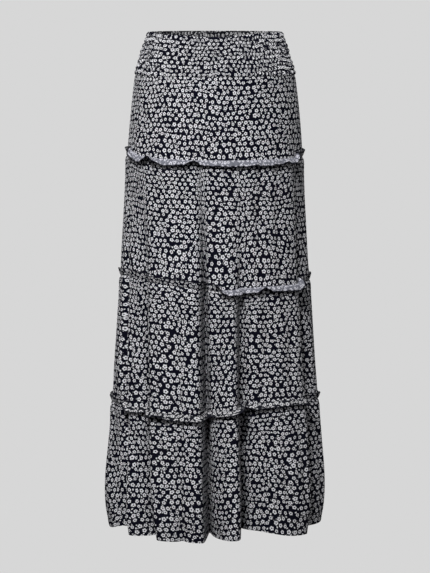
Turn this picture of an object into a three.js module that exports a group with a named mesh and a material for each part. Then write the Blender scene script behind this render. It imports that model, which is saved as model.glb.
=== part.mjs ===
// A tiered maxi skirt, worn and filled out: a smocked waistband, four tiers of soft printed cloth, and a narrow
// frill at each of the three seams where a gathered tier joins the one above it.
// Units are millimetres. +Z is up, -Y is the front, +X is to the right of someone who looks at the front.
// The origin is the middle of the waist opening, level with its side edges.
import * as THREE from "three";

// Driving dimensions
const WALL = 1.6; // thickness of the cloth wall
const SEAM_GAP = 0.3; // clearance between neighbouring pieces
const SIDE_SEAM = 90; // degrees from centre front to a side seam
const LEVEL = { top: 0, smocked: -80, seam1: -233, seam2: -467, seam3: -697, hem: -940 };

// Where a level isn't even round the skirt: rise lifts it by some millimetres at an angle, over a width in degrees
const RISES = [
  { level: "top", at: 0, rise: -14, width: 34 },
  { level: "seam1", at: -62, rise: 10, width: 28 },
  { level: "seam1", at: 160, rise: 6, width: 40 },
  { level: "seam2", at: -62, rise: 16, width: 40 },
  { level: "seam2", at: 6, rise: -6, width: 16 },
  { level: "seam2", at: 150, rise: 8, width: 40 },
  { level: "seam3", at: -8, rise: -6, width: 22 },
  { level: "seam3", at: 48, rise: 16, width: 34 },
  { level: "seam3", at: -150, rise: 8, width: 30 },
  { level: "hem", at: 27, rise: 9, width: 16 },
  { level: "hem", at: 90, rise: 9, width: 16 },
  { level: "hem", at: -72, rise: 7, width: 10 },
  { level: "hem", at: -130, rise: 7, width: 40 },
];

// The envelope of the worn skirt, which the outermost cloth touches. back is how far a section sits behind the origin.
const SECTIONS = [
  { z: 0, halfWidth: 124.5, halfDepth: 95, back: 0 },
  { z: -19, halfWidth: 131.5, halfDepth: 100, back: 1 },
  { z: -50, halfWidth: 141.5, halfDepth: 106, back: 3 },
  { z: -80, halfWidth: 149.5, halfDepth: 111, back: 4 },
  { z: -171, halfWidth: 160, halfDepth: 118, back: 6 },
  { z: -242, halfWidth: 165.5, halfDepth: 121, back: 6 },
  { z: -399, halfWidth: 175.5, halfDepth: 129, back: 4 },
  { z: -477, halfWidth: 180.5, halfDepth: 134, back: 3 },
  { z: -551, halfWidth: 187, halfDepth: 138, back: 2 },
  { z: -696, halfWidth: 197, halfDepth: 144, back: 0 },
  { z: -765, halfWidth: 203, halfDepth: 148, back: 0 },
  { z: -840, halfWidth: 209, halfDepth: 151, back: 0 },
  { z: -895, halfWidth: 208.5, halfDepth: 151, back: 0 },
  { z: -940, halfWidth: 201, halfDepth: 148, back: 0 },
];

// Folds: troughs that run down the cloth and deepen towards the hem. Angles are in degrees round the skirt, 0 at
// centre front and positive to the right. left and right are how far each flank spreads at the hem, and soft is how
// many times wider both are where the fold starts. power says how late the depth comes.
const FOLDS = [
  { at: -3.5, topAt: -9, start: -190, depth: 58, power: 1.3, left: 3.2, right: 9, soft: 2.6 },
  { at: 19, topAt: 16, start: -280, depth: 66, power: 1.35, left: 3.2, right: 20, soft: 2.4 },
  { at: 66, topAt: 69, start: -150, depth: 56, power: 1.2, left: 4, right: 10, soft: 1.9 },
  { at: -39, topAt: -49, start: -240, depth: 32, power: 1.15, left: 13, right: 3.4, soft: 2.2 },
  { at: -62, topAt: -65, start: -640, depth: 32, power: 0.8, left: 11, right: 3.6, soft: 2 },
  { at: -18, topAt: -18, start: -480, depth: 9, power: 0.8, left: 5, right: 5, soft: 1.5 },
  { at: 112, topAt: 114, start: -230, depth: 42, power: 1.2, left: 4, right: 10, soft: 2 },
  { at: 131, topAt: 130, start: -420, depth: 32, power: 1, left: 7, right: 4, soft: 2 },
  { at: 149, topAt: 146, start: -200, depth: 58, power: 1.3, left: 4, right: 15, soft: 2.4 },
  { at: 172, topAt: 176, start: -330, depth: 40, power: 1.1, left: 10, right: 4, soft: 2 },
  { at: -168, topAt: -170, start: -500, depth: 20, power: 0.9, left: 6, right: 6, soft: 1.6 },
  { at: -146, topAt: -150, start: -210, depth: 56, power: 1.3, left: 12, right: 4, soft: 2.4 },
  { at: -124, topAt: -122, start: -380, depth: 36, power: 1.1, left: 4, right: 9, soft: 2 },
  { at: -104, topAt: -108, start: -300, depth: 30, power: 1.1, left: 6, right: 4, soft: 2 },
];
const FOLD_DRIFT_WIDTH = 16; // degrees of cloth that lean over with a fold whose top and hem angles differ

// Smocking: rows of elastic thread that pull the waistband in, with puffs of cloth standing between them
const SMOCK = { rows: 8, puffs: 48, height: 2.4, valley: 0.25 };

// Gathers under each tier seam: how many round the skirt, how far they stand out, and how far down they fade
const GATHER = { count: 26, height: 3.2, swell: 12, fade: 60, uneven: 1.4 };

// Frills: the strip's own width, how far its waves stand out and how many there are
const FRILL = { width: 12, wave: 1.8, waves: 26, rootTurn: 42, tipTurn: 84, hang: -1, rootRise: 1.3 };

// Where each frill doesn't hang: from and to are degrees, and lean is -1 for hanging and 1 for standing up
const FRILL_TURNS = {
  seam1: [
    { from: -102, to: -76, lean: 0.9 },
    { from: -48, to: -38, lean: 0.2 },
    { from: -14, to: -8, lean: -0.2 },
    { from: 24, to: 30, lean: -0.4 },
    { from: 52, to: 58, lean: -0.1 },
    { from: 74, to: 96, lean: 0.9 },
    { from: 124, to: 136, lean: 0 },
    { from: 162, to: 170, lean: -0.3 },
    { from: -150, to: -136, lean: 0.2 },
  ],
  seam2: [
    { from: -110, to: 4, lean: 0.9 },
    { from: 27, to: 34, lean: -0.1 },
    { from: 60, to: 67, lean: 0 },
    { from: 78, to: 104, lean: 0.9 },
    { from: 128, to: 140, lean: 0.1 },
    { from: -172, to: -146, lean: 0.7 },
  ],
  seam3: [
    { from: -108, to: -80, lean: 0.7 },
    { from: -62, to: -53, lean: 0 },
    { from: -36, to: -30, lean: -0.3 },
    { from: -10, to: 1, lean: -0.1 },
    { from: 14, to: 22, lean: 0 },
    { from: 56, to: 66, lean: 0.3 },
    { from: 80, to: 102, lean: 0.9 },
    { from: 142, to: 154, lean: -0.1 },
    { from: -156, to: -142, lean: 0 },
  ],
};
const TURN_BLEND = 6; // degrees over which a frill turns from one lean to the next

// How finely each piece is divided, round half of the skirt and down
const GRID = {
  waistband: { round: 48, down: 16, liningDown: 3 },
  tier1: { round: 40, down: 3 },
  tier2: { round: 48, down: 4 },
  tier3: { round: 54, down: 4 },
  tier4: { round: 70, down: 5 },
  frill: { down: 2 },
};
const TOP_ROWS_CLOSER = 1.25; // power that sets a tier's rows closer together under its gathered seam

const CLOTH = new THREE.MeshStandardMaterial({ color: 0x6b6c74, roughness: 0.85, metalness: 0 });
const SMOCKED_CLOTH = new THREE.MeshStandardMaterial({ color: 0x66676f, roughness: 0.9, metalness: 0 });
const FRILL_CLOTH = new THREE.MeshStandardMaterial({ color: 0x83848d, roughness: 0.9, metalness: 0 });

const radians = THREE.MathUtils.degToRad;
const { clamp, lerp, smoothstep } = THREE.MathUtils;

// The difference between two angles in degrees, from -180 to 180
function turn(from, to) {
  return THREE.MathUtils.euclideanModulo(to - from + 180, 360) - 180;
}

// One column of the sections table at height z, on a smooth curve through its rows
function sectionValue(name, z) {
  const last = SECTIONS.length - 1;
  let i = SECTIONS.findIndex((row) => row.z <= z);
  i = clamp(i < 0 ? last : i, 1, last);
  const row = (n) => SECTIONS[clamp(n, 0, last)];
  const slope = (n) => (row(n + 1)[name] - row(n - 1)[name]) / (row(n + 1).z - row(n - 1).z);
  const span = row(i).z - row(i - 1).z;
  const t = clamp((z - row(i - 1).z) / span, 0, 1);
  const eased = t * t * (3 - 2 * t);
  const leaving = slope(i - 1) * span * (t * (1 - t) * (1 - t));
  const arriving = slope(i) * span * (t * t * (t - 1));
  return lerp(row(i - 1)[name], row(i)[name], eased) + leaving + arriving;
}

// How far a fold has grown at height z, from 0 where it starts to 1 at the hem
function foldShare(fold, z) {
  return clamp((fold.start - z) / (fold.start - LEVEL.hem), 0, 1);
}

// How deep the folds press the cloth in
function foldDepth(angle, z) {
  let depth = 0;
  for (const fold of FOLDS) {
    const share = foldShare(fold, z);
    const off = turn(fold.at, angle);
    const spread = (off < 0 ? fold.left : fold.right) * lerp(fold.soft, 1, share);
    depth += fold.depth * share ** fold.power * Math.exp(-((off / spread) ** 2));
  }
  return depth;
}

// How many degrees the cloth leans sideways at height z, because a fold's top isn't straight above its hem
function drift(angle, z) {
  let total = 0;
  for (const fold of FOLDS) {
    const away = turn(fold.at, angle) / FOLD_DRIFT_WIDTH;
    total += turn(fold.at, fold.topAt) * (1 - foldShare(fold, z)) * Math.exp(-away * away);
  }
  return total;
}

// How far the gathers under a seam stand out: none at the seam, most a little below it, then fading
function gatherHeight(angle, z) {
  let height = 0;
  for (const seam of ["seam1", "seam2", "seam3"]) {
    const below = levelHeight(seam, angle) - z;
    if (below <= 0) continue;
    const swell = smoothstep(below, 0, GATHER.swell) * Math.exp(-below / GATHER.fade);
    const phase = radians(GATHER.count * angle) + GATHER.uneven * Math.sin(radians(3 * angle) + LEVEL[seam]);
    height += GATHER.height * swell * (0.5 + 0.5 * Math.cos(phase));
  }
  return height;
}

// The point at an angle and a height on the envelope, moved out by some millimetres
function envelopePoint(angle, z, out) {
  const halfWidth = sectionValue("halfWidth", z);
  const halfDepth = sectionValue("halfDepth", z);
  const turned = radians(angle + drift(angle, z));
  const sin = Math.sin(turned);
  const cos = Math.cos(turned);
  const outward = new THREE.Vector2(halfDepth * sin, -halfWidth * cos).normalize();
  return new THREE.Vector3(
    halfWidth * sin + outward.x * out,
    -halfDepth * cos + sectionValue("back", z) + outward.y * out,
    z,
  );
}

// The outer face of the cloth, with its folds and gathers
function clothPoint(angle, z, out = 0) {
  return envelopePoint(angle, z, out + gatherHeight(angle, z) - foldDepth(angle, z));
}

// The direction that the cloth's outer face points in
function clothNormal(angle, z) {
  const round = clothPoint(angle + 0.1, z).sub(clothPoint(angle - 0.1, z));
  const up = clothPoint(angle, z + 1).sub(clothPoint(angle, z - 1));
  return round.cross(up).normalize();
}

// The inner face of the cloth, a wall's thickness behind the outer one and level with it
function liningPoint(angle, z) {
  const inward = clothNormal(angle, z).setZ(0).normalize();
  return clothPoint(angle, z).addScaledVector(inward, -WALL);
}

// Height of a level at an angle
function levelHeight(level, angle) {
  let height = LEVEL[level];
  for (const part of RISES) {
    if (part.level === level) height += part.rise * Math.exp(-((turn(part.at, angle) / part.width) ** 2));
  }
  return height;
}

// How far the smocking stands out at a share of the way down the waistband: puffs between the rows of thread
function smockHeight(angle, down) {
  const betweenThreads = Math.abs(Math.sin(Math.PI * down * SMOCK.rows));
  const puff = 0.5 + 0.5 * Math.cos(radians(SMOCK.puffs * angle));
  return SMOCK.height * betweenThreads * lerp(SMOCK.valley, 1, puff);
}

// How a frill leans at an angle: -1 hanging down, 0 straight out, 1 standing up
function frillLean(seam, angle) {
  let lean = FRILL.hang;
  for (const part of FRILL_TURNS[seam]) {
    const middle = (part.from + part.to) / 2;
    const inside = (part.to - part.from) / 2 - Math.abs(turn(middle, angle));
    lean = lerp(lean, part.lean, smoothstep(inside, -TURN_BLEND, TURN_BLEND));
  }
  return lean;
}

// A point in a frill's wall. down runs from 0 at the seam to 1 at the free edge, and side is -1 or 1 for its two faces.
function frillPoint(seam, angle, down, side) {
  const lean = frillLean(seam, angle);
  const steps = 8;
  let out = SEAM_GAP + WALL / 2;
  let up = 0;
  let tilt = radians(FRILL.rootTurn) * lean;
  for (let i = 0; i < steps * down; i++) {
    tilt = radians(lerp(FRILL.rootTurn, FRILL.tipTurn, i / steps)) * lean;
    out += (Math.cos(tilt) * FRILL.width) / steps;
    up += (Math.sin(tilt) * FRILL.width) / steps;
  }
  const phase = radians(FRILL.waves * angle) + GATHER.uneven * Math.sin(radians(4 * angle) + LEVEL[seam]);
  out += FRILL.wave * down * (1 + Math.cos(phase));
  out -= (side * Math.sin(tilt) * WALL) / 2;
  up += (side * Math.cos(tilt) * WALL) / 2;
  const height = levelHeight(seam, angle) + FRILL.rootRise;
  const outward = clothNormal(angle, height).setZ(0).normalize();
  return clothPoint(angle, height).addScaledVector(outward, out).setZ(height + up);
}

// Angles across one panel, set closer together where the cloth bends most
function columnAngles(front, z, count) {
  const middle = front ? 0 : 180;
  const samples = 720;
  const angles = [];
  const lengths = [0];
  for (let i = 0; i <= samples; i++) {
    angles.push(middle + lerp(-SIDE_SEAM, SIDE_SEAM, i / samples));
    if (i > 0) {
      const step = clothPoint(angles[i], z).distanceTo(clothPoint(angles[i - 1], z));
      lengths.push(lengths[i - 1] + step);
    }
  }
  const columns = [];
  for (let n = 0, i = 0; n <= count; n++) {
    const wanted = (lengths[samples] * n) / count;
    while (i < samples - 1 && lengths[i + 1] < wanted) i++;
    const share = (wanted - lengths[i]) / (lengths[i + 1] - lengths[i]);
    columns.push(lerp(angles[i], angles[i + 1], clamp(share, 0, 1)));
  }
  const trim = THREE.MathUtils.radToDeg(SEAM_GAP / 2 / sectionValue("halfDepth", z));
  columns[0] += trim;
  columns[count] -= trim;
  return columns;
}

// A closed wall between two grids of points with the same columns. Each grid is a list of rows from the top down,
// and the inner one may have fewer rows. The faces' diagonals alternate, so that every second point is a neat peak.
function wallGeometry(outer, inner) {
  const points = [];
  const faces = [];
  const place = (grid) => grid.map((row) => row.map((point) => points.push(point.x, point.y, point.z) / 3 - 1));
  const quad = (a, b, c, d) => faces.push(a, b, c, a, c, d);
  const strip = (edge, other, row = 0) => {
    for (let i = 1; i < edge.length; i++) {
      const corners = [edge[i - 1], edge[i], other[i], other[i - 1]];
      if ((row + i) % 2) corners.push(corners.shift());
      quad(...corners);
    }
  };
  const [out, back] = [place(outer), place(inner)];
  for (let r = 1; r < out.length; r++) strip(out[r], out[r - 1], r);
  for (let r = 1; r < back.length; r++) strip(back[r - 1], back[r], r);
  strip(out[0], back[0]);
  strip(back.at(-1), out.at(-1));
  const close = (column, flip) => {
    const outEdge = out.map((row) => row.at(column));
    const backEdge = back.map((row) => row.at(column));
    for (const [p, q, r] of zipEdges(outEdge, backEdge)) faces.push(p, ...(flip ? [r, q] : [q, r]));
  };
  close(-1, false);
  close(0, true);
  const geometry = new THREE.BufferGeometry();
  geometry.setAttribute("position", new THREE.Float32BufferAttribute(points, 3));
  geometry.setIndex(faces);
  geometry.computeVertexNormals();
  return geometry;
}

// The triangles between two edges that run side by side, with any number of points on each
function zipEdges(one, other) {
  const triangles = [];
  let [i, j] = [0, 0];
  while (i < one.length - 1 || j < other.length - 1) {
    const nextOne = (i + 1) / (one.length - 1);
    const nextOther = (j + 1) / (other.length - 1);
    if (nextOne <= nextOther) {
      triangles.push([one[i], one[i + 1], other[j]]);
      i++;
    } else {
      triangles.push([one[i], other[j + 1], other[j]]);
      j++;
    }
  }
  return triangles;
}

function rows(count, make) {
  return Array.from({ length: count + 1 }, (_, i) => make(i / count));
}

function addPiece(group, name, geometry, material) {
  const mesh = new THREE.Mesh(geometry, material);
  mesh.name = name;
  group.add(mesh);
}

function waistbandPanel(front) {
  const { round, down, liningDown } = GRID.waistband;
  const middle = front ? 0 : 180;
  const trim = THREE.MathUtils.radToDeg(SEAM_GAP / 2 / SECTIONS[0].halfDepth);
  const columns = rows(round, (share) => middle + lerp(trim - SIDE_SEAM, SIDE_SEAM - trim, share));
  const height = (angle, share) => lerp(levelHeight("top", angle), LEVEL.smocked, share);
  const outer = rows(down, (share) =>
    columns.map((angle) => clothPoint(angle, height(angle, share), smockHeight(angle, share))),
  );
  const inner = rows(liningDown, (share) => columns.map((angle) => liningPoint(angle, height(angle, share))));
  return wallGeometry(outer, inner);
}

function tierPanel(front, top, bottom, { round, down }) {
  const columns = columnAngles(front, LEVEL[bottom], round);
  const height = (angle, share) =>
    lerp(levelHeight(top, angle) - SEAM_GAP, levelHeight(bottom, angle), share ** TOP_ROWS_CLOSER);
  const face = (point) => rows(down, (share) => columns.map((angle) => point(angle, height(angle, share))));
  return wallGeometry(face((angle, z) => clothPoint(angle, z)), face(liningPoint));
}

function frillPanel(front, seam, round) {
  const columns = columnAngles(front, LEVEL[seam], round);
  const face = (side) =>
    rows(GRID.frill.down, (share) => columns.map((angle) => frillPoint(seam, angle, share, side)));
  return wallGeometry(face(1), face(-1));
}

const TIERS = [
  { name: "tier1", top: "smocked", bottom: "seam1", frill: "frill1" },
  { name: "tier2", top: "seam1", bottom: "seam2", frill: "frill2" },
  { name: "tier3", top: "seam2", bottom: "seam3", frill: "frill3" },
  { name: "tier4", top: "seam3", bottom: "hem" },
];

const skirt = new THREE.Group();
for (const side of ["front", "back"]) {
  const front = side === "front";
  addPiece(skirt, `waistband_${side}`, waistbandPanel(front), SMOCKED_CLOTH);
  for (const { name, top, bottom, frill } of TIERS) {
    const grid = GRID[name];
    addPiece(skirt, `${name}_${side}`, tierPanel(front, top, bottom, grid), CLOTH);
    if (frill) addPiece(skirt, `${frill}_${side}`, frillPanel(front, bottom, grid.round), FRILL_CLOTH);
  }
}

export default skirt;
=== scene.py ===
"""The tiered maxi skirt in thin cloth: folds, gathers, smocking, frills, hem and a small flower print."""

import math

import bpy
import numpy as np
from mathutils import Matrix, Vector


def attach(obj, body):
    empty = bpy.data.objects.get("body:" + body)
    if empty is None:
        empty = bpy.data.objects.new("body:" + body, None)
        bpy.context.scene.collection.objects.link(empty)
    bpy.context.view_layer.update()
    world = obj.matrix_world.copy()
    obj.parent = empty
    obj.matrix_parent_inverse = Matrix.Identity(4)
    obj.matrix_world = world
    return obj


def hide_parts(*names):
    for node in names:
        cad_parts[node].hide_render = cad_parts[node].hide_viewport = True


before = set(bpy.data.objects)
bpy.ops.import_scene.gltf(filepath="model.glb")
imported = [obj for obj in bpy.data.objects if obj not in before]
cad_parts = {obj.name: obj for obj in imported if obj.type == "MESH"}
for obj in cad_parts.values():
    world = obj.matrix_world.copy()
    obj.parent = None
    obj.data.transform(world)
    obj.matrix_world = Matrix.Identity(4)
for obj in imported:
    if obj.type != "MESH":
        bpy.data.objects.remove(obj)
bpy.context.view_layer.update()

# Sizes are millimetres and degrees round the skirt: 0 at centre front, positive to the right.
# MM turns millimetres to metres.
MM = 0.001
CLOTH_THICKNESS = 0.7
SIDE_SEAM = 90.0
LEVEL = {"top": 0, "smocked": -80, "seam1": -233, "seam2": -467, "seam3": -697, "hem": -940}
SEAMS = ("seam1", "seam2", "seam3")

# Where a level isn't even: level, angle, rise, width in degrees
RISES = [
    ("top", 0, -8, 36),
    ("seam1", -62, 10, 28),
    ("seam1", 160, 6, 40),
    ("seam2", -62, 16, 40),
    ("seam2", 6, -6, 16),
    ("seam2", 150, 8, 40),
    ("seam3", -8, -6, 22),
    ("seam3", 48, 16, 34),
    ("seam3", -150, 8, 30),
    ("hem", 27, 9, 16),
    ("hem", 90, 9, 16),
    ("hem", -67, 9, 8),
    ("hem", -130, 7, 40),
]

# Sections: z, half width, half depth, and how far the section sits behind the origin
SECTIONS = np.array([
    (0, 124.5, 95, 0),
    (-19, 131.5, 100, 1),
    (-50, 141.5, 106, 3),
    (-80, 149.5, 111, 4),
    (-171, 160, 118, 6),
    (-242, 165.5, 121, 6),
    (-399, 175.5, 129, 4),
    (-477, 180.5, 134, 3),
    (-551, 187, 138, 2),
    (-696, 197, 144, 0),
    (-765, 203, 148, 0),
    (-840, 209, 151, 0),
    (-895, 208.5, 151, 0),
    (-940, 201, 148, 0),
], float)
HALF_WIDTH, HALF_DEPTH, SET_BACK = 1, 2, 3

# Folds: angle at hem, angle at top, start z, depth, power, left flank, right flank, softness,
# and the depth and width of the narrow core at the bottom of the fold
FOLDS = [
    (-4.2, -8.5, -190, 56, 1.25, 1.0, 8.5, 3.4, 26, 2.4),
    (19, 17.5, -280, 66, 1.3, 3.4, 18, 1.8, 24, 3.0),
    (67.2, 69.5, -150, 56, 1.2, 3.6, 10, 1.6, 24, 3.0),
    (-38, -55, -240, 36, 1.1, 10, 2.8, 1.9, 28, 2.8),
    (-59.5, -64, -640, 32, 0.8, 11, 3.0, 2, 6, 2),
    (-18, -18, -480, 9, 0.8, 5, 5, 1.5, 6, 1.6),
    (112, 114, -230, 42, 1.2, 4, 10, 1.7, 14, 2.4),
    (131, 130, -420, 32, 1, 7, 4, 1.8, 12, 2.2),
    (149, 146, -200, 58, 1.3, 4, 14, 1.8, 16, 2.4),
    (172, 176, -330, 40, 1.1, 10, 4, 1.8, 12, 2.2),
    (-168, -170, -500, 20, 0.9, 6, 6, 1.6, 8, 2),
    (-146, -150, -210, 56, 1.3, 12, 4, 1.8, 16, 2.4),
    (-124, -122, -380, 36, 1.1, 4, 9, 1.8, 12, 2.2),
    (-104, -108, -300, 30, 1.1, 6, 4, 1.8, 8, 2),
]
# Shares of a fold's length between which its core sets in, and the core's width at the top and its growth
CORE_START, CORE_FULL = 0.08, 0.5
CORE_WIDTH, CORE_GROWTH = 0.7, 0.3
# Degrees of cloth that lean over with a fold
FOLD_DRIFT_WIDTH = 16

# Creases that only the thin cloth has: angle, top z, bottom z, depth, width in degrees, lean in degrees
CREASES = [
    (-58.5, -400, -900, 20, 2.6, 7),
    (-67, -250, -450, 6, 3.0, 3),
    (-17, -300, -470, 3.0, 2.2, -1.5),
    (-28, -250, -380, 2.4, 2.6, 2.0),
    (4, -262, -400, 2.6, 2.4, 1.5),
    (30, -250, -420, 2.6, 2.8, -2.0),
    (44, -270, -450, 3.0, 2.6, 2.5),
    (-72, -255, -430, 2.6, 3.0, 1.0),
    (-52, -520, -690, 3.0, 2.2, 1.5),
    (8, -500, -690, 3.0, 2.0, -1.0),
    (34, -490, -640, 3.2, 2.4, 2.0),
    (50, -500, -690, 3.4, 2.6, -1.5),
    (-30, -500, -620, 2.6, 2.0, -1.5),
    (-48, -730, -930, 4.0, 2.2, 1.5),
    (-28, -720, -900, 3.6, 1.8, -1.0),
    (-10, -720, -860, 3.0, 1.8, 1.0),
    (9, -715, -900, 3.0, 1.6, 1.0),
    (33, -715, -920, 4.0, 2.2, -1.5),
    (44, -730, -940, 4.6, 2.4, 1.5),
    (55, -715, -900, 3.6, 2.0, 1.0),
    (84, -730, -930, 4.0, 2.4, 1.0),
    (92, -260, -450, 2.6, 2.8, 1.5),
    (104, -520, -680, 3.0, 2.6, -1.5),
    (122, -260, -440, 2.8, 2.6, 1.5),
    (140, -500, -690, 3.2, 2.4, 1.5),
    (158, -260, -420, 2.6, 2.6, -1.5),
    (163, -720, -920, 4.0, 2.2, 1.5),
    (-178, -250, -400, 2.8, 2.6, 1.0),
    (-176, -720, -930, 4.0, 2.2, -1.5),
    (-158, -490, -680, 3.2, 2.4, 1.5),
    (-134, -720, -930, 4.2, 2.2, -1.0),
    (-128, -260, -420, 2.6, 2.8, 1.5),
    (-112, -500, -690, 3.0, 2.4, 1.0),
    (-84, -725, -930, 4.0, 2.2, 1.5),
]
# Power that keeps a crease deep for longer than a plain sine would
CREASE_POWER = 0.8

# Gathers under a seam: how many go round, height, how far down they reach, how soon they swell,
# and how uneven their spacing is
GATHERS = [
    {"count": 26, "height": 2.4, "reach": 60, "swell": 12, "uneven": 1.4},
    {"count": 58, "height": 1.9, "reach": 42, "swell": 7, "uneven": 2.4},
    {"count": 104, "height": 1.5, "reach": 18, "swell": 4, "uneven": 3.0},
]
GATHER_VARIES = {"reach": 0.6, "least_height": 0.65, "more_height": 0.35, "slow_waves": 3, "shift_knots": 40}

# Low waves of the hanging cloth: lean with height, seed, knots round, step down, height, growth to the hem
SOFT_WAVES = [
    (0.006, 301, 46, 190, 0.5, 1.1),
    (-0.004, 302, 110, 120, 0.35, 0.35),
]
SOFT_WAVES_START, SOFT_WAVES_FULL = 150, 700
# Height under the waistband over which waves and creases set in
FINE_BLEND = 50
SIDE_SEAM_DIP = {"depth": 0.8, "width": 0.35}

# Smocking: rows of elastic thread with puffs of cloth between them
SMOCK = {
    "rows": 8, "row_power": 0.8, "row_share": 0.42, "row_step": 30,
    "puffs": 122, "height": 5.2, "base": -1.9, "valley": 0.05,
    "shift": 2.2, "shift_knots": 70, "least_height": 0.75, "more_height": 0.25, "height_knots": 90,
}

# Frills: width of the strip, its waves, finer waves on them, and how it differs where it stands up
FRILL = {
    "width": 14.5, "width_varies": 0.1, "width_knots": 30, "narrower_standing": 0.2, "narrower_from": 0.3,
    "wave": 1.1, "waves": 26, "slow_waves": 4, "slow_shift": 1.4,
    "fine_waves": 92, "fine_shift": 2.5, "fine_knots": 50, "fine_out": 0.9, "fine_up": 0.7,
    "calmer_standing": 0.65, "root_rise": 1.0, "root_out": 0.2, "look": 1.5, "edge_thickness": 1.9,
}
# How much a frill's lean wanders, and the lean at which it counts as upright
FRILL_LOOSE = {
    "turn": 0.3, "calmer_standing": 0.8, "calmer_from": 0.2, "knots": 44, "lowest": -1.08, "highest": 1.0,
}
FRILL_UPRIGHT = 0.9
# Turns of the frill's root and tip from straight out, where it stands up and where it hangs
FRILL_STANDING = (70, 86)
FRILL_HANGING = (14, 104)

# seam: from angle, to angle, lean (-1 hangs, 0 stands straight out, 1 stands up)
FRILL_TURNS = {
    "seam1": [
        (-125, -59, 1), (-34, -27, 0.3), (-11, -7, 0.1), (25.5, 28, -0.1), (48, 52, 0),
        (62, 122, 1), (134, 140, 0), (162, 170, -0.3), (-156, -142, 0.2),
    ],
    "seam2": [
        (-126, 6, 1), (29.5, 35, 0.2), (62, 122, 1), (134, 140, 0.1), (-176, -150, 0.7),
    ],
    "seam3": [
        (-126, -54, 1), (-30, -25, 0.1), (-5, 1, 0), (12, 25, 0.2),
        (66, 122, 1), (142, 154, -0.1), (-160, -146, 0),
    ],
}
# Degrees over which a frill turns from one lean to the next
TURN_BLEND = 4.5

# Tiers: top and bottom level, columns and rows of half the skirt, and the width that half was cut to
TIERS = {
    "tier1": {"top": "smocked", "bottom": "seam1", "columns": 190, "rows": 48, "cut": 470},
    "tier2": {"top": "seam1", "bottom": "seam2", "columns": 230, "rows": 72, "cut": 620},
    "tier3": {"top": "seam2", "bottom": "seam3", "columns": 260, "rows": 70, "cut": 740},
    "tier4": {"top": "seam3", "bottom": "hem", "columns": 310, "rows": 76, "cut": 880},
}
WAISTBAND = {"columns": 400, "rows": 64, "cut": 630, "cut_height": 94}
FRILL_GRID = {"columns": 400, "rows": 8}
# Power that sets a tier's rows closer together under its gathered seam
TOP_ROWS_CLOSER = 1.15
# How far a tier's top edge is tucked under the piece above, and over what height
TUCK = {"depth": 1.2, "height": 4.0}
HEM = {"depth": 8, "ridge": 0.5, "blend": 1.2, "groove": 0.5, "groove_above": 0.4, "groove_width": 0.9}
COLUMN_SAMPLES = 4001

# Where the flat cuts lie on the printed cloth: from one tier to the next, and the fronts above the backs
CUT_ACROSS = 1000
CUT_FRONT = 700

# Random waves: rows of values down the cloth, the first row in use, and the seed of each wave
NOISE_ROWS = 64
NOISE_START = 5
SEEDS = {
    "gather_reach": 40, "gather_shift": 70, "gather_height": 90, "smock_shift": 501, "smock_height": 502,
    "frill_lean": 610, "frill_fine": 630, "frill_width": 640,
}

# Bake areas: how many rims, their height, the gap between two areas, and the inner face's share
# of a tier and of a strip
RIMS = 4
RIM = 0.006
GAP = 0.008
TIER_INNER_SHARE = 0.36
STRIP_INNER_SHARE = 0.45
# Degrees between two faces from which their edge is sharp, and the least length of a normal
SHARP_ANGLE = 75
LEAST_NORMAL = 1e-9

# The print, in metres of flat cloth
FLOWER_PITCH = 0.0106
FLOWER_RADIUS = 0.0033
FLOWER_JITTER = 0.38
FLOWER_LEAST, FLOWER_MORE = 0.84, 0.3
ROW_SHARE = 0.88
# Slow sways of the flower rows: noise scale and amount
SWAYS = [(42.0, 0.0024), (18.0, 0.007), (6.0, 0.014)]
# Petals: how many, how the outline swells between them, and the soft borders of petal, eye and vein
PETALS = 5
PETAL_POWER, PETAL_SWELL, PETAL_NOTCH = 0.6, 0.36, 0.68
PETAL_BORDER = (-0.0002, 0.0003)
EYE_BORDER = (0.0008, 0.0015)
VEIN_WIDTH, VEIN_TONE = 0.3, 0.45
VEIN_BORDER = (0.0026, 0.0038)
# Buds: spacing, radius, soft border, stretch, share left out, and how far they keep from a flower
BUD_PITCH = 0.0058
BUD_RADIUS = 0.0011
BUD_BORDER = 0.0002
BUD_STRETCH = 0.62
BUD_RANDOMNESS = 0.95
BUDS_LEFT_OUT = 0.42
BUD_CLEAR = (0.0010, 0.0015)

# Colours of the ground and the petals: right side, wrong side, and a copy of the wrong side painted paler, as
# painted light, for the upper frills
GROUND = (0.0052, 0.0055, 0.0130, 1)
PETAL = (0.96, 0.96, 1.0, 1)
WRONG_GROUND = (0.016, 0.017, 0.024, 1)
WRONG_PETAL = (0.80, 0.80, 0.82, 1)
FRILL_GROUND_PAINTED_LIGHT = (0.21, 0.215, 0.255, 1)
FRILL_PETAL_PAINTED_LIGHT = (0.80, 0.80, 0.87, 1)

# The cloth's surface: noise scales of its tone and weave, the noise values between which each sets in,
# how much the petals are worn, relief and roughness
TONE_SCALE, WEAVE_SCALE, WEAVE_HEIGHT = 90.0, 1400.0, 0.7
TONE_BAND, WEAVE_BAND = (0.35, 0.7), (0.3, 0.7)
WEAR = 0.06
CLOTH_BUMP = {"strength": 0.25, "distance": 0.0004}
CLOTH_ROUGHNESS, ROUGHNESS_VARIES = 0.88, 0.06
CLOTH_SPECULAR = 0.05
THREAD_BUMP = {"strength": 0.6, "distance": 0.0003}
THREAD_ROUGHNESS, THREAD_SPECULAR = 0.7, 0.2
STITCH_PITCH = 0.0018

# Camera, stage and lights, in metres
CAMERA_PLACE = Vector((0, -4.2, 0.08))
CAMERA_AIM = Vector((0, 0, -0.479))
PHOTO_WIDTH = 430
FOCAL_PIXELS = 2240
SENSOR_WIDTH = 36.0
FLOOR_Z = -4.2
BACKDROP = 0.679
STAGE = {"half_width": 2.2, "back": 9.0, "top": 0.8, "radius": 0.6, "floor": 0.6, "steps": 12}
WORLD_STRENGTH = 0.05
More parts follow.
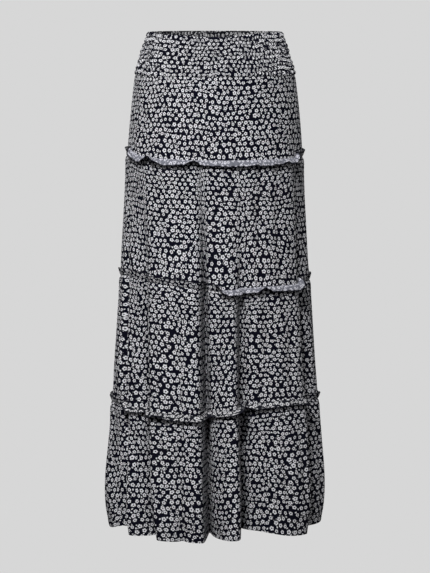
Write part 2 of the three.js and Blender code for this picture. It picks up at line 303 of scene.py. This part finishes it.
# Softboxes: name, place, target, size, power
SOFTBOXES = [
    ("key_softbox", (-0.62, -2.95, 2.2), (0, 0, -0.4), 0.8, 112),
    ("front_softbox", (0.9, -3.2, 1.1), (0, 0, -0.35), 1.6, 10),
    ("left_softbox", (-2.3, -0.6, 1.2), (0, 0, -0.1), 0.8, 10),
    ("back_left_softbox", (-1.6, 2.6, 1.3), (0, 0, -0.4), 0.9, 60),
    ("back_right_softbox", (2.2, 2.2, 1.1), (0, 0, -0.4), 0.9, 26),
]


def turn(start, end):
    """The difference between two angles, from -180 to 180."""
    return (np.asarray(end) - start + 180) % 360 - 180


def smoothstep(x, low, high):
    t = np.clip((x - low) / (high - low), 0, 1)
    return t * t * (3 - 2 * t)


def wobble(angle, seed, knots):
    """A smooth random wave from -1 to 1 that closes on itself round the skirt."""
    values = np.random.default_rng(seed).uniform(-1, 1, knots)
    place = (np.asarray(angle) % 360) / 360 * knots
    low = np.floor(place).astype(int)
    first, second = values[low % knots], values[(low + 1) % knots]
    return first + (second - first) * smoothstep(place - low, 0, 1)


def drape_noise(angle, z, seed, knots, step):
    """The same wave in two directions: knots round the skirt, and a new row of values every step down it."""
    rows = -np.asarray(z) / step + NOISE_START
    low = np.floor(rows).astype(int)
    table = np.random.default_rng(seed).uniform(-1, 1, (NOISE_ROWS, knots))
    place = (np.asarray(angle) % 360) / 360 * knots
    left = np.floor(place).astype(int)
    across = smoothstep(place - left, 0, 1)

    def row(number):
        values = table[number % NOISE_ROWS, left % knots]
        after = table[number % NOISE_ROWS, (left + 1) % knots]
        return values * (1 - across) + after * across

    share = smoothstep(rows - low, 0, 1)
    return row(low) * (1 - share) + row(low + 1) * share


def section(column, z):
    """One column of SECTIONS at height z, on a smooth curve through its rows."""
    rows, values = SECTIONS[:, 0], SECTIONS[:, column]
    last = len(rows) - 1
    i = np.clip(np.searchsorted(-rows, -np.asarray(z), side="left"), 1, last)
    slopes = np.array([
        (values[min(n + 1, last)] - values[max(n - 1, 0)]) / (rows[min(n + 1, last)] - rows[max(n - 1, 0)])
        for n in range(last + 1)
    ])
    span = rows[i] - rows[i - 1]
    t = np.clip((z - rows[i - 1]) / span, 0, 1)
    value = values[i - 1] + (values[i] - values[i - 1]) * smoothstep(t, 0, 1)
    return value + slopes[i - 1] * span * t * (1 - t) ** 2 + slopes[i] * span * t * t * (t - 1)


def fold_share(start, z):
    """How far down a fold a height is, from 0 at its start to 1 at the hem."""
    return np.clip((start - z) / (start - LEVEL["hem"]), 0, 1)


def fold_depth(angle, z):
    """How far the folds and their narrow cores go in from the envelope."""
    depth = 0
    for at, _, start, deep, power, left, right, soft, core_depth, core_width in FOLDS:
        share = fold_share(start, z)
        off = turn(at, angle)
        flank = np.where(off < 0, left, right)
        spread = flank * (soft + (1 - soft) * share)
        depth = depth + deep * share**power * np.exp(-((off / spread) ** 2))
        core = core_depth * smoothstep(share, CORE_START, CORE_FULL)
        wide = np.minimum(core_width, flank) * (CORE_WIDTH + CORE_GROWTH * share)
        depth = depth + core * np.exp(-((off / wide) ** 2))
    return depth


def drift(angle, z):
    """Degrees by which the cloth leans over with the folds beside it."""
    total = 0
    for at, top_at, start, *_ in FOLDS:
        away = turn(at, angle) / FOLD_DRIFT_WIDTH
        total = total + turn(at, top_at) * (1 - fold_share(start, z)) * np.exp(-away * away)
    return total


def level_height(level, angle):
    height = np.full_like(np.asarray(angle, float), LEVEL[level])
    for name, at, rise, width in RISES:
        if name == level:
            height = height + rise * np.exp(-((turn(at, angle) / width) ** 2))
    return height


def gather_height(angle, z):
    """How far the gathers under the seams stand out."""
    height = 0
    for number, seam in enumerate(SEAMS):
        below = level_height(seam, angle) - z
        for size, kind in enumerate(GATHERS):
            seed = 10 * number + size
            chance = wobble(angle, SEEDS["gather_reach"] + seed, kind["count"] // 2)
            reach = kind["reach"] * (1 + GATHER_VARIES["reach"] * chance)
            swell = smoothstep(below, 0, kind["swell"]) * np.exp(-np.maximum(below, 0) / reach)
            if size == 0:
                shift = np.sin(np.radians(GATHER_VARIES["slow_waves"] * angle) + LEVEL[seam])
                tall = 1
            else:
                shift = wobble(angle, SEEDS["gather_shift"] + seed, GATHER_VARIES["shift_knots"])
                chance = wobble(angle, SEEDS["gather_height"] + seed, kind["count"])
                tall = GATHER_VARIES["least_height"] + GATHER_VARIES["more_height"] * chance
            ridge = 0.5 + 0.5 * np.cos(np.radians(kind["count"] * angle) + kind["uneven"] * shift)
            height = height + np.where(below > 0, kind["height"] * tall * swell * ridge, 0)
    return height


def crease_depth(angle, z):
    """How far the creases go in."""
    depth = 0
    for at, top, bottom, deep, width, lean in CREASES:
        down = np.clip((top - z) / (top - bottom), 0, 1)
        off = turn(at + lean * (down - 0.5), angle) / width
        depth = depth + deep * np.sin(np.pi * down) ** CREASE_POWER * np.exp(-off * off)
    return depth


def soft_waves(angle, z):
    """Low waves of the hanging cloth, stronger towards the hem."""
    share = smoothstep(-z, SOFT_WAVES_START, SOFT_WAVES_FULL)
    total = 0
    for lean, seed, knots, step, height, growth in SOFT_WAVES:
        total = total + (height + growth * share) * drape_noise(angle + lean * z, z, seed, knots, step)
    return total


def side_seam_dip(angle):
    """The shallow groove along each side seam."""
    near = np.minimum(np.abs(turn(SIDE_SEAM, angle)), np.abs(turn(-SIDE_SEAM, angle)))
    return SIDE_SEAM_DIP["depth"] * np.exp(-((near / SIDE_SEAM_DIP["width"]) ** 2))


def envelope_point(angle, z, out):
    """A point on the oval envelope of the skirt, moved out from it."""
    wide, deep = section(HALF_WIDTH, z), section(HALF_DEPTH, z)
    turned = np.radians(angle + drift(angle, z))
    sin, cos = np.sin(turned), np.cos(turned)
    nx, ny = deep * sin, -wide * cos
    size = np.hypot(nx, ny)
    x = wide * sin + nx / size * out
    y = -deep * cos + section(SET_BACK, z) + ny / size * out
    return np.stack([x, y, z + 0 * out], -1)


def cloth_point(angle, z, out=0.0):
    """The outer face of the cloth."""
    relief = gather_height(angle, z) - fold_depth(angle, z)
    fine = np.where(z < LEVEL["smocked"], soft_waves(angle, z) - crease_depth(angle, z), 0)
    fine = fine * smoothstep(-z, -LEVEL["smocked"], -LEVEL["smocked"] + FINE_BLEND)
    return envelope_point(angle, z, out + relief + fine - side_seam_dip(angle))


def grid_normals(points):
    across = np.gradient(points, axis=1)
    down = np.gradient(points, axis=0)
    normal = np.cross(down, across)
    return normal / np.maximum(np.linalg.norm(normal, axis=-1, keepdims=True), LEAST_NORMAL)


def column_angles(front, z, count):
    """Angles across half of the skirt, set closer together where the cloth bends most."""
    middle = 0 if front else 180
    angles = middle + np.linspace(-SIDE_SEAM, SIDE_SEAM, COLUMN_SAMPLES)
    points = cloth_point(angles, np.full_like(angles, z))
    lengths = np.concatenate([[0], np.cumsum(np.linalg.norm(np.diff(points, axis=0), axis=1))])
    return np.interp(np.linspace(0, lengths[-1], count + 1), lengths, angles)


def face_corners(grid):
    """The four corners of each face of a grid."""
    return np.stack([grid[1:, :-1], grid[1:, 1:], grid[:-1, 1:], grid[:-1, :-1]], 2)


class Shell:
    """Collects grids of points and faces, with a cloth UV, a bake UV and a material for each face."""

    def __init__(self):
        self.points, self.faces, self.cloth, self.bake, self.slots = [], [], [], [], []
        self.count = 0

    def add_points(self, grid):
        index = np.arange(grid.shape[0] * grid.shape[1]).reshape(grid.shape[:2]) + self.count
        self.points.append(grid.reshape(-1, 3))
        self.count += index.size
        return index

    def add_faces(self, index, cloth, box, slot, flip=False):
        """Faces between the points of index. cloth is their place on the print, box their bake area."""
        low_u, low_v, high_u, high_v = box
        rows, columns = index.shape
        u, v = np.meshgrid(np.linspace(low_u, high_u, columns), np.linspace(high_v, low_v, rows))
        bake = np.stack([u, v], -1)
        faces, cloth, bake = face_corners(index), face_corners(cloth), face_corners(bake)
        if flip:
            faces, cloth, bake = faces[:, :, ::-1], cloth[:, :, ::-1], bake[:, :, ::-1]
        self.faces.append(faces.reshape(-1, 4))
        self.cloth.append(cloth.reshape(-1, 2))
        self.bake.append(bake.reshape(-1, 2))
        self.slots.append(np.broadcast_to(slot, (rows - 1, columns - 1)).reshape(-1))

    def build(self, name, materials):
        points = np.concatenate(self.points) * MM
        faces = np.concatenate(self.faces)
        mesh = bpy.data.meshes.new(name)
        mesh.from_pydata(points, [], faces)
        for layer, values in (("Cloth", self.cloth), ("OFBake", self.bake)):
            mesh.uv_layers.new(name=layer).data.foreach_set("uv", np.concatenate(values).ravel())
        mesh.polygons.foreach_set("material_index", np.concatenate(self.slots))
        mesh.polygons.foreach_set("use_smooth", np.ones(len(faces), bool))
        for material in materials:
            mesh.materials.append(material)
        mesh.set_sharp_from_angle(angle=math.radians(SHARP_ANGLE))
        mesh.update()
        piece = bpy.data.objects.new(name, mesh)
        bpy.context.scene.collection.objects.link(piece)
        return piece


def closed_shell(name, outer, inner, cloth, materials, inner_share):
    """A thin closed piece of cloth between two grids of points. cloth is each point's place on the flat cut.

    A third material, where there is one, goes on the last row of faces: the sewn edge, whose dark thread also
    paints the shadow line under a frill.
    """
    shape = (outer.shape[0] - 1, outer.shape[1] - 1)
    right_side, wrong_side = np.full(shape, 0), np.full(shape, 1)
    if len(materials) > 2:
        right_side[-1], wrong_side[-1] = 2, 2
    shell = Shell()
    out, back = shell.add_points(outer), shell.add_points(inner)
    split_height = (1 - (RIMS + 2) * GAP - RIMS * RIM) * inner_share + GAP
    top = 1 - (RIMS + 1) * GAP - RIMS * RIM
    cloth = cloth * MM
    shell.add_faces(out, cloth, (GAP, split_height + GAP, 1 - GAP, top), right_side)
    shell.add_faces(back, cloth, (GAP, GAP, 1 - GAP, split_height), wrong_side, flip=True)
    rims = [
        (back[0], out[0], cloth[0], 0, False),
        (out[-1], back[-1], cloth[-1], right_side[-1, 0], False),
        (out[:, 0], back[:, 0], cloth[:, 0], 0, False),
        (out[:, -1], back[:, -1], cloth[:, -1], 0, True),
    ]
    for number, (first, second, place, slot, flip) in enumerate(rims):
        low = top + GAP + number * (RIM + GAP)
        box = (GAP, low, 1 - GAP, low + RIM)
        shell.add_faces(np.stack([first, second]), np.stack([place, place]), box, slot, flip=flip)
    return shell.build(name, materials)


# Materials


class Nodes:
    """Short ways to add and join shader nodes."""

    def __init__(self, name):
        self.material = bpy.data.materials.new(name)
        self.material.use_nodes = True
        self.tree = self.material.node_tree
        self.shader = self.tree.nodes["Principled BSDF"]

    def add(self, kind, **settings):
        node = self.tree.nodes.new(kind)
        for key, value in settings.items():
            setattr(node, key, value)
        return node

    def join(self, start, end):
        self.tree.links.new(start, end)

    def put(self, socket, value):
        if hasattr(value, "is_output"):
            self.join(value, socket)
        else:
            socket.default_value = value

    def math(self, operation, *values):
        node = self.add("ShaderNodeMath", operation=operation)
        for socket, value in zip(node.inputs, values):
            self.put(socket, value)
        return node.outputs[0]

    def step(self, value, low, high, start=0.0, end=1.0):
        node = self.add("ShaderNodeMapRange", interpolation_type="SMOOTHSTEP")
        keys = ("Value", "From Min", "From Max", "To Min", "To Max")
        for key, number in zip(keys, (value, low, high, start, end)):
            self.put(node.inputs[key], number)
        return node.outputs["Result"]

    def blend(self, share, first, second):
        node = self.add("ShaderNodeMix", data_type="FLOAT")
        for socket, value in zip((node.inputs[0], node.inputs[2], node.inputs[3]), (share, first, second)):
            self.put(socket, value)
        return node.outputs[0]

    def mix(self, share, first, second):
        node = self.add("ShaderNodeMix", data_type="RGBA")
        self.put(node.inputs["Factor"], share)
        self.put(node.inputs[6], first)
        self.put(node.inputs[7], second)
        return node.outputs[2]

    def vector(self, operation, *values):
        node = self.add("ShaderNodeVectorMath", operation=operation)
        for socket, value in zip(node.inputs, values):
            self.put(socket, value)
        return node.outputs[0]


def noise(n, coordinates, scale, detail=2.0):
    node = n.add("ShaderNodeTexNoise", noise_dimensions="2D")
    n.put(node.inputs["Vector"], coordinates)
    n.put(node.inputs["Scale"], scale)
    n.put(node.inputs["Detail"], detail)
    return node


def length(n, x, y):
    return n.math("SQRT", n.math("ADD", n.math("MULTIPLY", x, x), n.math("MULTIPLY", y, y)))


def split(n, vector):
    node = n.add("ShaderNodeSeparateXYZ")
    n.put(node.inputs[0], vector)
    return node.outputs[0], node.outputs[1], node.outputs[2]


def loosened(n, move):
    """A flower's place in its cell, moved by chance."""
    return n.math("MULTIPLY_ADD", move, FLOWER_JITTER, 0.5 - FLOWER_JITTER / 2)


def nearest_flower(n, place):
    """Distance and offset to the nearest flower of the loose rows, and two chances of its own."""
    x, y, _ = split(n, n.vector("MULTIPLY", place, (1 / FLOWER_PITCH, 1 / FLOWER_PITCH / ROW_SHARE, 0)))
    first_row = n.math("FLOOR", n.math("SUBTRACT", y, 0.5))
    best = None
    for next_row in (0, 1):
        row = n.math("ADD", first_row, float(next_row))
        shift = n.math("MULTIPLY", n.math("FLOORED_MODULO", row, 2.0), 0.5)
        first_column = n.math("FLOOR", n.math("SUBTRACT", n.math("SUBTRACT", x, shift), 0.5))
        for next_column in (0, 1):
            column = n.math("ADD", first_column, float(next_column))
            cell = n.add("ShaderNodeCombineXYZ")
            n.put(cell.inputs[0], column)
            n.put(cell.inputs[1], row)
            chance = n.add("ShaderNodeTexWhiteNoise", noise_dimensions="2D")
            n.put(chance.inputs["Vector"], cell.outputs[0])
            move_x, move_y, spare = split(n, chance.outputs["Color"])
            centre_x = n.math("ADD", n.math("ADD", column, shift), loosened(n, move_x))
            centre_y = n.math("ADD", row, loosened(n, move_y))
            off_x = n.math("MULTIPLY", n.math("SUBTRACT", x, centre_x), FLOWER_PITCH)
            off_y = n.math("MULTIPLY", n.math("SUBTRACT", y, centre_y), FLOWER_PITCH * ROW_SHARE)
            here = [length(n, off_x, off_y), off_x, off_y, spare, chance.outputs["Value"]]
            if best is None:
                best = here
                continue
            nearer = n.math("LESS_THAN", here[0], best[0])
            best = [n.blend(nearer, old, new) for old, new in zip(best, here)]
    return best


def bud_shape(n, place):
    """How much bud there is at a place: small leaves turned by chance, some of them left out."""
    buds = n.add("ShaderNodeTexVoronoi", voronoi_dimensions="2D", feature="F1")
    n.put(buds.inputs["Vector"], place)
    n.put(buds.inputs["Scale"], 1 / BUD_PITCH)
    n.put(buds.inputs["Randomness"], BUD_RANDOMNESS)
    turned, chance, _ = split(n, buds.outputs["Color"])
    rotated = n.add("ShaderNodeVectorRotate", rotation_type="Z_AXIS")
    n.put(rotated.inputs["Vector"], n.vector("SUBTRACT", place, buds.outputs["Position"]))
    n.put(rotated.inputs["Angle"], n.math("MULTIPLY", turned, 2 * math.pi))
    x, y, _ = split(n, rotated.outputs[0])
    distance = length(n, n.math("MULTIPLY", x, BUD_STRETCH), y)
    bud = n.step(distance, BUD_RADIUS + BUD_BORDER, BUD_RADIUS - BUD_BORDER)
    return n.math("MULTIPLY", bud, n.math("GREATER_THAN", chance, BUDS_LEFT_OUT))


def flower_print(n, coordinates):
    """How much petal there is at a place: small round flowers with dark eyes, and buds between them."""
    place = coordinates
    for scale, amount in SWAYS:
        sway = n.vector("SUBTRACT", noise(n, coordinates, scale, 0.0).outputs["Color"], (0.5, 0.5, 0.5))
        place = n.vector("MULTIPLY_ADD", sway, (amount, amount, 0.0), place)
    distance, x, y, turned, chance = nearest_flower(n, place)
    polar = n.math("MULTIPLY_ADD", turned, 2 * math.pi, n.math("ARCTAN2", y, x))
    lobes = n.math("ABSOLUTE", n.math("COSINE", n.math("MULTIPLY", polar, PETALS / 2)))
    edge = n.math("MULTIPLY_ADD", n.math("POWER", lobes, PETAL_POWER), PETAL_SWELL, PETAL_NOTCH)
    size = n.math("MULTIPLY_ADD", chance, FLOWER_RADIUS * FLOWER_MORE, FLOWER_RADIUS * FLOWER_LEAST)
    reach = n.math("MULTIPLY", edge, size)
    petals = n.step(n.math("SUBTRACT", reach, distance), *PETAL_BORDER)
    eye = n.step(distance, *EYE_BORDER)
    veins = n.math("MAXIMUM", n.step(lobes, 0.0, VEIN_WIDTH, VEIN_TONE, 1.0), n.step(distance, *VEIN_BORDER))
    flower = n.math("MULTIPLY", n.math("MULTIPLY", petals, eye), veins)
    clear = n.step(n.math("SUBTRACT", distance, reach), *BUD_CLEAR)
    return n.math("MAXIMUM", flower, n.math("MULTIPLY", bud_shape(n, place), clear))


def add_bump(n, height, strength, distance):
    relief = n.add("ShaderNodeBump")
    n.put(relief.inputs["Strength"], strength)
    n.put(relief.inputs["Distance"], distance)
    n.put(relief.inputs["Height"], height)
    n.join(relief.outputs[0], n.shader.inputs["Normal"])


def cloth_material(name, ground, petal):
    """Matt woven cloth with the flower print."""
    n = Nodes(name)
    uv = n.add("ShaderNodeUVMap", uv_map="Cloth").outputs[0]
    tone, weave = noise(n, uv, TONE_SCALE).outputs[0], noise(n, uv, WEAVE_SCALE).outputs[0]
    worn = n.mix(n.step(tone, *TONE_BAND, 0.0, WEAR), petal, ground)
    n.join(n.mix(flower_print(n, uv), ground, worn), n.shader.inputs["Base Color"])
    add_bump(n, n.math("MULTIPLY_ADD", weave, WEAVE_HEIGHT, tone), **CLOTH_BUMP)
    least, most = CLOTH_ROUGHNESS - ROUGHNESS_VARIES, CLOTH_ROUGHNESS + ROUGHNESS_VARIES
    n.join(n.step(weave, *WEAVE_BAND, least, most), n.shader.inputs["Roughness"])
    n.shader.inputs["Specular IOR Level"].default_value = CLOTH_SPECULAR
    return n.material


def thread_material(name, colour):
    """Close stitches across a sewn edge."""
    n = Nodes(name)
    along, _, _ = split(n, n.add("ShaderNodeUVMap", uv_map="Cloth").outputs[0])
    stitch = n.math("ABSOLUTE", n.math("SINE", n.math("MULTIPLY", along, math.pi / STITCH_PITCH)))
    add_bump(n, stitch, **THREAD_BUMP)
    n.shader.inputs["Base Color"].default_value = colour
    n.shader.inputs["Roughness"].default_value = THREAD_ROUGHNESS
    n.shader.inputs["Specular IOR Level"].default_value = THREAD_SPECULAR
    return n.material


RIGHT_SIDE = cloth_material("printed_cloth_right_side", GROUND, PETAL)
WRONG_SIDE = cloth_material("printed_cloth_wrong_side", WRONG_GROUND, WRONG_PETAL)
# The wrong side painted paler for the two upper frills: painted light where the hanging frills catch the
# light
FRILL_WRONG_SIDE_PAINTED_LIGHT = cloth_material("frill_wrong_side_painted_light", FRILL_GROUND_PAINTED_LIGHT, FRILL_PETAL_PAINTED_LIGHT)
# The frill's rolled edge in dark thread; its dark colour also paints the shadow line under the hanging frills
EDGE_THREAD_AND_SHADOW = thread_material("edge_thread_and_painted_shadow", GROUND)


def declare(piece, node):
    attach(piece, "root")
    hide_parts(node)


def cut_start(number, side):
    """Where a tier's flat cut starts on the printed cloth."""
    return CUT_ACROSS * number, CUT_FRONT if side == "front" else 0


def flat_cut(rows, columns, width, height, start):
    """The place of each point of a grid on its flat cut, from start across and down."""
    u, v = np.meshgrid(np.linspace(0, width, columns), np.linspace(0, -height, rows))
    return np.stack([u + start[0], v + start[1]], -1)


def hem_relief(above):
    """The ridge of the turned hem and the groove of its stitches."""
    ridge = HEM["ridge"] * smoothstep(above, HEM["depth"] + HEM["blend"], HEM["depth"])
    from_groove = (above - HEM["depth"] - HEM["groove_above"]) / HEM["groove_width"]
    return ridge - HEM["groove"] * np.exp(-(from_groove**2))


def make_tier(name, side, number):
    tier = TIERS[name]
    bottom = LEVEL[tier["bottom"]]
    angles = column_angles(side == "front", bottom, tier["columns"])
    share = np.linspace(0, 1, tier["rows"] + 1)[:, None] ** TOP_ROWS_CLOSER
    top_z, bottom_z = level_height(tier["top"], angles), level_height(tier["bottom"], angles)
    z = top_z + (bottom_z - top_z) * share
    angle = np.broadcast_to(angles, z.shape)
    tuck = TUCK["depth"] * smoothstep(top_z - z, TUCK["height"], 0.0)
    hem = hem_relief(z - bottom_z) if tier["bottom"] == "hem" else 0.0
    outer = cloth_point(angle, z, -tuck + hem)
    inner = outer - grid_normals(outer) * CLOTH_THICKNESS
    height = LEVEL[tier["top"]] - bottom
    cloth = flat_cut(*z.shape, tier["cut"], height, cut_start(number, side))
    materials = [RIGHT_SIDE, WRONG_SIDE]
    piece = closed_shell(f"{name}_{side}_cloth", outer, inner, cloth, materials, TIER_INNER_SHARE)
    declare(piece, f"{name}_{side}")


def make_waistband(side):
    middle = 0 if side == "front" else 180
    angles = middle + np.linspace(-SIDE_SEAM, SIDE_SEAM, WAISTBAND["columns"] + 1)
    share = np.linspace(0, 1, WAISTBAND["rows"] + 1)[:, None]
    top = level_height("top", angles)
    z = top + (LEVEL["smocked"] - top) * share
    angle = np.broadcast_to(angles, z.shape)
    row = share * SMOCK["rows"]
    step = SMOCK["row_step"]
    shift = SMOCK["shift"] * drape_noise(angle, -row * step, SEEDS["smock_shift"], SMOCK["shift_knots"], step)
    puff = 0.5 + 0.5 * np.cos(np.radians(SMOCK["puffs"] * angle) + shift)
    varied = drape_noise(angle, -row * step, SEEDS["smock_height"], SMOCK["height_knots"], step)
    tall = SMOCK["least_height"] + SMOCK["more_height"] * varied
    between = np.abs(np.sin(np.pi * row)) ** SMOCK["row_power"]
    raised = SMOCK["row_share"] + (1 - SMOCK["row_share"]) * between
    puffed = SMOCK["valley"] + (1 - SMOCK["valley"]) * puff
    outer = cloth_point(angle, z, SMOCK["height"] * raised * puffed * tall + SMOCK["base"])
    inner = outer - grid_normals(outer) * CLOTH_THICKNESS
    width, height = WAISTBAND["cut"], WAISTBAND["cut_height"]
    across, up = cut_start(1, side)
    cloth = flat_cut(*z.shape, width, height, (across, up + height))
    materials = [RIGHT_SIDE, WRONG_SIDE]
    piece = closed_shell(f"waistband_{side}_cloth", outer, inner, cloth, materials, STRIP_INNER_SHARE)
    declare(piece, f"waistband_{side}")


def frill_lean(seam, angle):
    """How a frill leans at an angle round the skirt: -1 hangs, 0 stands straight out, 1 stands up."""
    lean = np.full_like(angle, -1.0)
    for start, end, part in FRILL_TURNS[seam]:
        inside = (end - start) / 2 - np.abs(turn((start + end) / 2, angle))
        lean = lean + (part - lean) * smoothstep(inside, -TURN_BLEND, TURN_BLEND)
    standing = smoothstep(lean, FRILL_LOOSE["calmer_from"], FRILL_UPRIGHT)
    loose = FRILL_LOOSE["turn"] * (1 - FRILL_LOOSE["calmer_standing"] * standing)
    wander = loose * wobble(angle, SEEDS["frill_lean"] + SEAMS.index(seam), FRILL_LOOSE["knots"])
    return np.clip(lean + wander, FRILL_LOOSE["lowest"], FRILL_LOOSE["highest"])


def frill_face(number, seam, angles):
    """The middle of a frill's strip, from its root in the seam to its free edge."""
    lean = frill_lean(seam, angles)
    height = level_height(seam, angles) + FRILL["root_rise"]
    base = cloth_point(angles, height)
    beside = cloth_point(angles + FRILL["look"], height) - cloth_point(angles - FRILL["look"], height)
    outward = np.stack([beside[:, 1], -beside[:, 0], 0 * beside[:, 0]], -1)
    outward /= np.linalg.norm(outward, axis=1, keepdims=True)
    slow = FRILL["slow_shift"] * np.sin(np.radians(FRILL["slow_waves"] * angles) + LEVEL[seam])
    phase = np.radians(FRILL["waves"] * angles) + slow
    fine_shift = FRILL["fine_shift"] * wobble(angles, SEEDS["frill_fine"] + number, FRILL["fine_knots"])
    fine = np.radians(FRILL["fine_waves"] * angles) + fine_shift
    varied = 1 + FRILL["width_varies"] * wobble(angles, SEEDS["frill_width"] + number, FRILL["width_knots"])
    narrower = 1 - FRILL["narrower_standing"] * smoothstep(lean, FRILL["narrower_from"], FRILL_UPRIGHT)
    width = FRILL["width"] * varied * narrower
    calm = 1 - FRILL["calmer_standing"] * smoothstep(lean, 0, FRILL_UPRIGHT)
    out, up = np.full_like(angles, FRILL["root_out"]), np.zeros_like(angles)
    steps = FRILL_GRID["rows"]
    rows = []
    for i in range(steps + 1):
        share = i / steps
        wave = FRILL["wave"] * share * (1 + np.cos(phase)) + FRILL["fine_out"] * share * np.cos(fine)
        aside = outward * (out + wave * calm)[:, None]
        lift = np.array([0, 0, 1]) * (up + FRILL["fine_up"] * share * np.sin(fine))[:, None]
        rows.append(base + aside + lift)
        standing = FRILL_STANDING[0] + (FRILL_STANDING[1] - FRILL_STANDING[0]) * share
        hanging = FRILL_HANGING[0] + (FRILL_HANGING[1] - FRILL_HANGING[0]) * share
        tilt = np.radians(np.where(lean > 0, standing, hanging)) * lean
        out = out + np.cos(tilt) * width / steps
        up = up + np.sin(tilt) * width / steps
    return np.stack(rows)


def make_frill(number, side):
    seam = SEAMS[number - 1]
    angles = column_angles(side == "front", LEVEL[seam] + FRILL["root_rise"], FRILL_GRID["columns"])
    face = frill_face(number, seam, angles)
    normal = grid_normals(face)
    thickness = np.full((len(face), 1, 1), CLOTH_THICKNESS)
    thickness[-2:] = CLOTH_THICKNESS * FRILL["edge_thickness"]
    outer, inner = face + normal * thickness / 2, face - normal * thickness / 2
    width, height = TIERS[f"tier{number + 1}"]["cut"], FRILL["width"]
    start = cut_start(number + 1, side)
    cloth = flat_cut(*face.shape[:2], width, height, start)
    cloth[..., 1] = 2 * start[1] - cloth[..., 1]
    # The two upper frills turn out the wrong side painted paler with painted light, the lowest the plain
    # wrong side
    turned_out = FRILL_WRONG_SIDE_PAINTED_LIGHT if number < len(SEAMS) else WRONG_SIDE
    # The last row gets the dark edge thread, which also paints the shadow line under the frill
    materials = [turned_out, RIGHT_SIDE, EDGE_THREAD_AND_SHADOW]
    piece = closed_shell(f"frill{number}_{side}_cloth", outer, inner, cloth, materials, STRIP_INNER_SHARE)
    declare(piece, f"frill{number}_{side}")


for side in ("front", "back"):
    make_waistband(side)
    for number, name in enumerate(TIERS, 1):
        make_tier(name, side, number)
    for number in range(1, len(SEAMS) + 1):
        make_frill(number, side)


# Stage, light and camera


def make_stage():
    """A pale wall far behind, with a sweep at its foot."""
    wide, back, radius, steps = STAGE["half_width"], STAGE["back"], STAGE["radius"], STAGE["steps"]
    profile = [(back - radius - STAGE["floor"], FLOOR_Z)]
    for i in range(steps + 1):
        a = math.pi / 2 * i / steps
        profile.append((back - radius + radius * math.sin(a), FLOOR_Z + radius - radius * math.cos(a)))
    profile.append((back, STAGE["top"]))
    points = [(x, y, z) for y, z in profile for x in (-wide, wide)]
    faces = [(2 * i, 2 * i + 1, 2 * i + 3, 2 * i + 2) for i in range(len(profile) - 1)]
    mesh = bpy.data.meshes.new("stage")
    mesh.from_pydata(points, [], faces)
    mesh.polygons.foreach_set("use_smooth", [True] * len(faces))
    n = Nodes("stage_paper")
    n.shader.inputs["Base Color"].default_value = (0.0, 0.0, 0.0, 1)
    n.shader.inputs["Roughness"].default_value = 1.0
    n.shader.inputs["Specular IOR Level"].default_value = 0.0
    n.shader.inputs["Emission Color"].default_value = (BACKDROP, BACKDROP, BACKDROP, 1)
    n.shader.inputs["Emission Strength"].default_value = 1.0
    mesh.materials.append(n.material)
    stage = bpy.data.objects.new("stage", mesh)
    bpy.context.scene.collection.objects.link(stage)


def aim(thing, place, target):
    thing.location = place
    thing.rotation_euler = (Vector(target) - Vector(place)).to_track_quat("-Z", "Y").to_euler()


def add_softbox(name, place, target, size, power):
    light = bpy.data.lights.new(name, "AREA")
    light.shape, light.size, light.energy = "SQUARE", size, power
    lamp = bpy.data.objects.new(name, light)
    aim(lamp, place, target)
    bpy.context.scene.collection.objects.link(lamp)


def make_camera():
    camera = bpy.data.cameras.new("camera")
    camera.sensor_fit, camera.sensor_width = "HORIZONTAL", SENSOR_WIDTH
    camera.lens = camera.sensor_width * FOCAL_PIXELS / PHOTO_WIDTH
    rig = bpy.data.objects.new("camera", camera)
    aim(rig, CAMERA_PLACE, CAMERA_AIM)
    bpy.context.scene.collection.objects.link(rig)
    bpy.context.scene.camera = rig


def make_world():
    world = bpy.data.worlds.new("studio")
    world.use_nodes = True
    background = world.node_tree.nodes["Background"]
    background.inputs["Color"].default_value = (1, 1, 1, 1)
    background.inputs["Strength"].default_value = WORLD_STRENGTH
    bpy.context.scene.world = world


make_stage()
make_world()
for softbox in SOFTBOXES:
    add_softbox(*softbox)
make_camera()
bpy.context.scene.view_settings.view_transform = "Standard"
